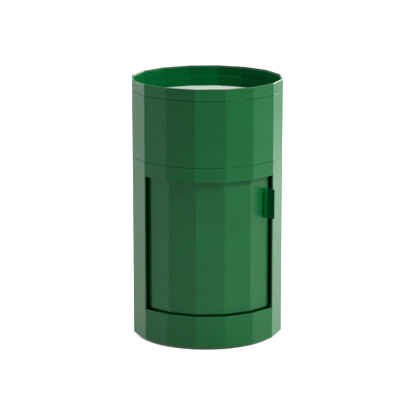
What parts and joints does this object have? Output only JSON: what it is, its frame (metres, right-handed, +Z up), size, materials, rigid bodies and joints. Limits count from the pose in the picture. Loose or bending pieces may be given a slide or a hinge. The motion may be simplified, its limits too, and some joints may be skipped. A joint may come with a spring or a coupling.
{
  "type": "mobile storage cabinet",
  "caption": "Upright faceted drum cabinet in painted sheet steel with a revolving front door, a shelf, a top bin under a lift-off tray lid and castors hidden in the skirt.",
  "frame": {"origin": "on the floor, under the drum's axis", "axes": "+Z up along the drum's axis, -Y towards the front of the door, +X to the side of the pull tab"},
  "size_m": [0.4, 0.4, 0.698],
  "materials": {
    "green_coat": "semi-gloss powder coat",
    "zinc_steel": "zinc plated",
    "white_nylon": "moulded",
    "grey_nylon": "moulded",
    "black_rubber": "moulded",
    "tyre_rubber": "moulded",
    "pale_mat": "matt sheet"
  },
  "bodies": {
    "drum": {"lower_shell": "green_coat", "opening_frame": "green_coat", "upper_shell": "green_coat", "joining_collar": "zinc_steel", "base_deck": "green_coat", "mid_deck": "green_coat", "shelf": "green_coat", "lower_post_1": "zinc_steel", "lower_post_2": "zinc_steel", "lower_post_3": "zinc_steel", "upper_post_1": "zinc_steel", "upper_post_2": "zinc_steel", "upper_post_3": "zinc_steel", "lower_guide_ring": "zinc_steel", "upper_guide_ring": "zinc_steel", "closed_stop": "black_rubber", "open_stop": "black_rubber", "castor_plate_1": "zinc_steel", "castor_plate_2": "zinc_steel", "castor_plate_3": "zinc_steel", "castor_plate_4": "zinc_steel"},
    "door": {"door_skin": "green_coat", "door_carrier": "green_coat", "door_bottom_channel": "zinc_steel", "door_top_channel": "zinc_steel", "pull_tab": "green_coat", "tab_rivet_1": "zinc_steel", "tab_rivet_2": "zinc_steel", "lower_glide_1": "white_nylon", "lower_glide_2": "white_nylon", "lower_glide_3": "white_nylon", "upper_glide_1": "white_nylon", "upper_glide_2": "white_nylon", "upper_glide_3": "white_nylon"},
    "lid": {"lid_ring": "green_coat", "lid_pan": "green_coat", "tray_mat": "pale_mat"},
    "swivel_1": {"castor_fork_1": "zinc_steel", "castor_axle_1": "zinc_steel"},
    "swivel_2": {"castor_fork_2": "zinc_steel", "castor_axle_2": "zinc_steel"},
    "swivel_3": {"castor_fork_3": "zinc_steel", "castor_axle_3": "zinc_steel"},
    "swivel_4": {"castor_fork_4": "zinc_steel", "castor_axle_4": "zinc_steel"},
    "wheel_1": {"castor_hub_1": "grey_nylon", "castor_tyre_1": "tyre_rubber"},
    "wheel_2": {"castor_hub_2": "grey_nylon", "castor_tyre_2": "tyre_rubber"},
    "wheel_3": {"castor_hub_3": "grey_nylon", "castor_tyre_3": "tyre_rubber"},
    "wheel_4": {"castor_hub_4": "grey_nylon", "castor_tyre_4": "tyre_rubber"}
  },
  "joints": [
    {"name": "door_turn", "type": "hinge", "parent": "drum", "child": "door", "pos_m": [0, 0, 0.2715], "axis": [0, 0, 1], "range_deg": [-102, 0]},
    {"name": "lid_lift", "type": "slide", "parent": "drum", "child": "lid", "axis": [0, 0, 1], "range_m": [0, 0.2]},
    {"name": "swivel_turn_1", "type": "hinge", "parent": "drum", "child": "swivel_1", "pos_m": [0.08838, -0.08838, 0.06], "axis": [0, 0, 1], "continuous": true},
    {"name": "swivel_turn_2", "type": "hinge", "parent": "drum", "child": "swivel_2", "pos_m": [0.08838, 0.08838, 0.06], "axis": [0, 0, 1], "continuous": true},
    {"name": "swivel_turn_3", "type": "hinge", "parent": "drum", "child": "swivel_3", "pos_m": [-0.08838, 0.08838, 0.06], "axis": [0, 0, 1], "continuous": true},
    {"name": "swivel_turn_4", "type": "hinge", "parent": "drum", "child": "swivel_4", "pos_m": [-0.08838, -0.08838, 0.06], "axis": [0, 0, 1], "continuous": true},
    {"name": "wheel_roll_1", "type": "hinge", "parent": "swivel_1", "child": "wheel_1", "pos_m": [0.10111, -0.10111, 0.025], "axis": [0.7071, 0.7071, 0], "continuous": true},
    {"name": "wheel_roll_2", "type": "hinge", "parent": "swivel_2", "child": "wheel_2", "pos_m": [0.10111, 0.10111, 0.025], "axis": [-0.7071, 0.7071, 0], "continuous": true},
    {"name": "wheel_roll_3", "type": "hinge", "parent": "swivel_3", "child": "wheel_3", "pos_m": [-0.10111, 0.10111, 0.025], "axis": [-0.7071, -0.7071, 0], "continuous": true},
    {"name": "wheel_roll_4", "type": "hinge", "parent": "swivel_4", "child": "wheel_4", "pos_m": [-0.10111, -0.10111, 0.025], "axis": [0.7071, -0.7071, 0], "continuous": true}
  ]
}
